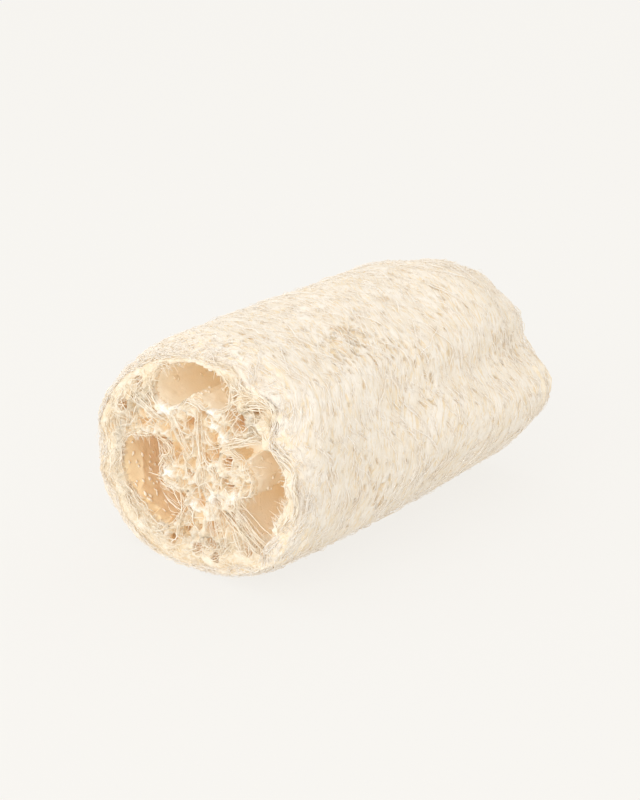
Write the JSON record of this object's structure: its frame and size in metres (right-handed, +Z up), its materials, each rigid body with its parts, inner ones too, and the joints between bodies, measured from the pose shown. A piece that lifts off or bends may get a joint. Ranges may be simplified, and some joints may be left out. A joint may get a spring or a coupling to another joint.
{
  "type": "natural loofah sponge",
  "caption": "Natural loofah sponge: dried gourd fibre in one piece, cut at both ends, with seed channels right through a fibrous core.",
  "frame": {"origin": "on the surface it lies on, under the middle of its outline", "axes": "+Y along the sponge from the show cut to the far cut, +Z up, +X to the right seen from the show end"},
  "size_m": [0.0912, 0.1278, 0.0744],
  "materials": {
    "dry_fibre": "dry, matt, unbleached plant fibre"
  },
  "bodies": {
    "root": {"loofah": "dry_fibre"}
  },
  "joints": []
}
